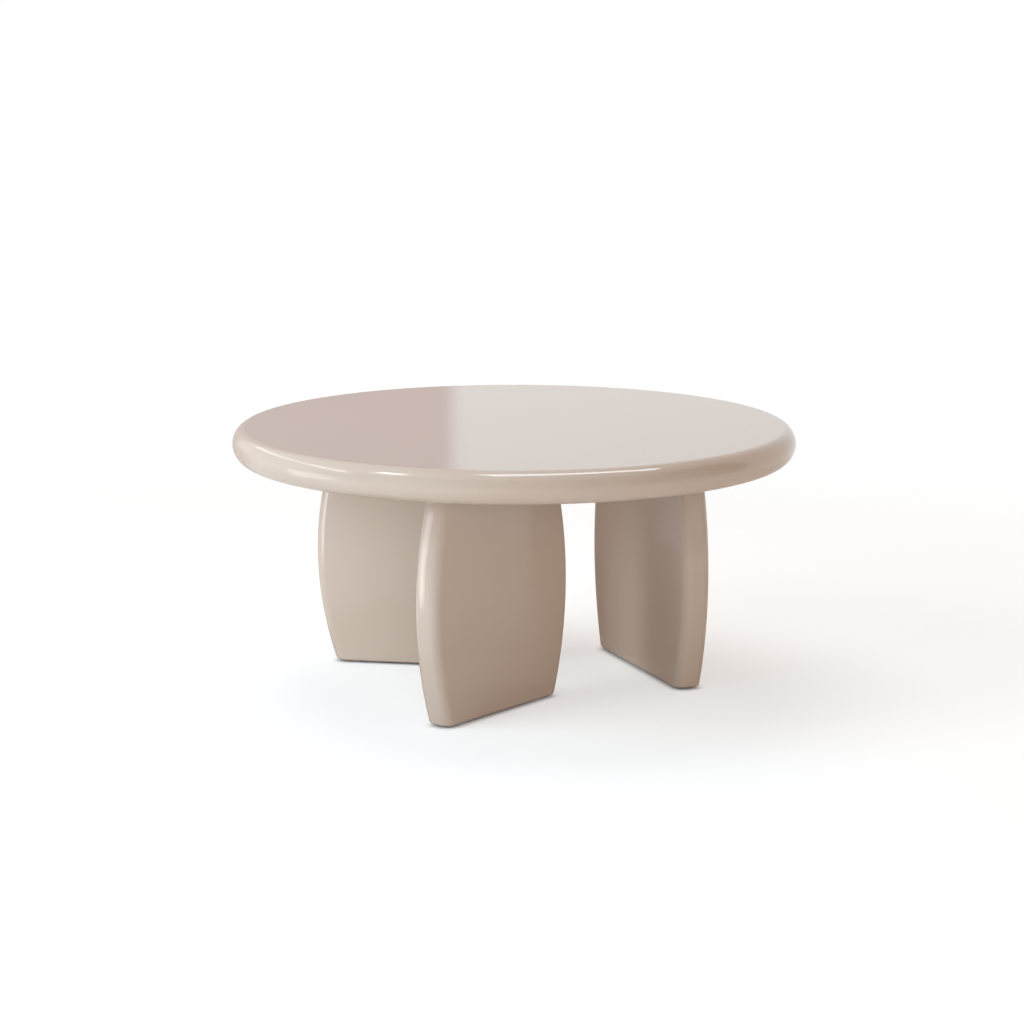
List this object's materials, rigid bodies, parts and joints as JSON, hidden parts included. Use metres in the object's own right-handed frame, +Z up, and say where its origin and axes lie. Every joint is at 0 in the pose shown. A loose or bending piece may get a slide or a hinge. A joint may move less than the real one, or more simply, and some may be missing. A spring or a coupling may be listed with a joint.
{
  "type": "round cocktail table",
  "caption": "Low round table with a thick lacquered top, rounded rim and bowed panel legs on levelling feet.",
  "frame": {"origin": "on the floor under the centre of the top", "axes": "+Z up; the XZ plane is the mirror plane, with the cross leg on the +X side and the pair of legs on the -X side"},
  "size_m": [0.9139, 0.914, 0.428],
  "materials": {
    "lacquer": "high gloss greige lacquer over board",
    "black_steel": "satin black powder coat",
    "zinc_steel": "zinc plated",
    "brass": "turned",
    "beech": "bare",
    "nylon": "moulded"
  },
  "bodies": {
    "table": {"tabletop": "lacquer", "cross_leg": "lacquer", "front_leg": "lacquer", "back_leg": "lacquer", "cross_plate": "black_steel", "front_plate": "black_steel", "back_plate": "black_steel", "leg_screws": "zinc_steel", "top_bolts": "black_steel", "bolt_washers": "black_steel", "top_inserts": "brass", "leg_dowels": "beech", "foot_inserts": "zinc_steel"},
    "foot_1": {"foot_1_base": "zinc_steel", "foot_1_pad": "nylon"},
    "stem_1": {"foot_1_stem": "zinc_steel"},
    "foot_2": {"foot_2_base": "zinc_steel", "foot_2_pad": "nylon"},
    "stem_2": {"foot_2_stem": "zinc_steel"},
    "foot_3": {"foot_3_base": "zinc_steel", "foot_3_pad": "nylon"},
    "stem_3": {"foot_3_stem": "zinc_steel"},
    "foot_4": {"foot_4_base": "zinc_steel", "foot_4_pad": "nylon"},
    "stem_4": {"foot_4_stem": "zinc_steel"},
    "foot_5": {"foot_5_base": "zinc_steel", "foot_5_pad": "nylon"},
    "stem_5": {"foot_5_stem": "zinc_steel"},
    "foot_6": {"foot_6_base": "zinc_steel", "foot_6_pad": "nylon"},
    "stem_6": {"foot_6_stem": "zinc_steel"}
  },
  "joints": [
    {"name": "foot_1_slide", "type": "slide", "parent": "table", "child": "foot_1", "axis": [0, 0, -1], "range_m": [0, 0.008]},
    {"name": "stem_1_turn", "type": "hinge", "parent": "foot_1", "child": "stem_1", "pos_m": [0.242, 0.1205, 0.02], "axis": [0, 0, -1], "range_deg": [0, 2305]},
    {"name": "foot_2_slide", "type": "slide", "parent": "table", "child": "foot_2", "axis": [0, 0, -1], "range_m": [0, 0.008]},
    {"name": "stem_2_turn", "type": "hinge", "parent": "foot_2", "child": "stem_2", "pos_m": [0.242, -0.1205, 0.02], "axis": [0, 0, -1], "range_deg": [0, 2305]},
    {"name": "foot_3_slide", "type": "slide", "parent": "table", "child": "foot_3", "axis": [0, 0, -1], "range_m": [0, 0.008]},
    {"name": "stem_3_turn", "type": "hinge", "parent": "foot_3", "child": "stem_3", "pos_m": [-0.02257, -0.12607, 0.02], "axis": [0, 0, -1], "range_deg": [0, 2305]},
    {"name": "foot_4_slide", "type": "slide", "parent": "table", "child": "foot_4", "axis": [0, 0, -1], "range_m": [0, 0.008]},
    {"name": "stem_4_turn", "type": "hinge", "parent": "foot_4", "child": "stem_4", "pos_m": [-0.18543, -0.22393, 0.02], "axis": [0, 0, -1], "range_deg": [0, 2305]},
    {"name": "foot_5_slide", "type": "slide", "parent": "table", "child": "foot_5", "axis": [0, 0, -1], "range_m": [0, 0.008]},
    {"name": "stem_5_turn", "type": "hinge", "parent": "foot_5", "child": "stem_5", "pos_m": [-0.02257, 0.12607, 0.02], "axis": [0, 0, -1], "range_deg": [0, 2305]},
    {"name": "foot_6_slide", "type": "slide", "parent": "table", "child": "foot_6", "axis": [0, 0, -1], "range_m": [0, 0.008]},
    {"name": "stem_6_turn", "type": "hinge", "parent": "foot_6", "child": "stem_6", "pos_m": [-0.18543, 0.22393, 0.02], "axis": [0, 0, -1], "range_deg": [0, 2305]}
  ],
  "couplings": [
    {"joint": "stem_1_turn", "follows": "foot_1_slide", "rad_per_m": 5026.5},
    {"joint": "stem_2_turn", "follows": "foot_2_slide", "rad_per_m": 5026.5},
    {"joint": "stem_3_turn", "follows": "foot_3_slide", "rad_per_m": 5026.5},
    {"joint": "stem_4_turn", "follows": "foot_4_slide", "rad_per_m": 5026.5},
    {"joint": "stem_5_turn", "follows": "foot_5_slide", "rad_per_m": 5026.5},
    {"joint": "stem_6_turn", "follows": "foot_6_slide", "rad_per_m": 5026.5}
  ]
}
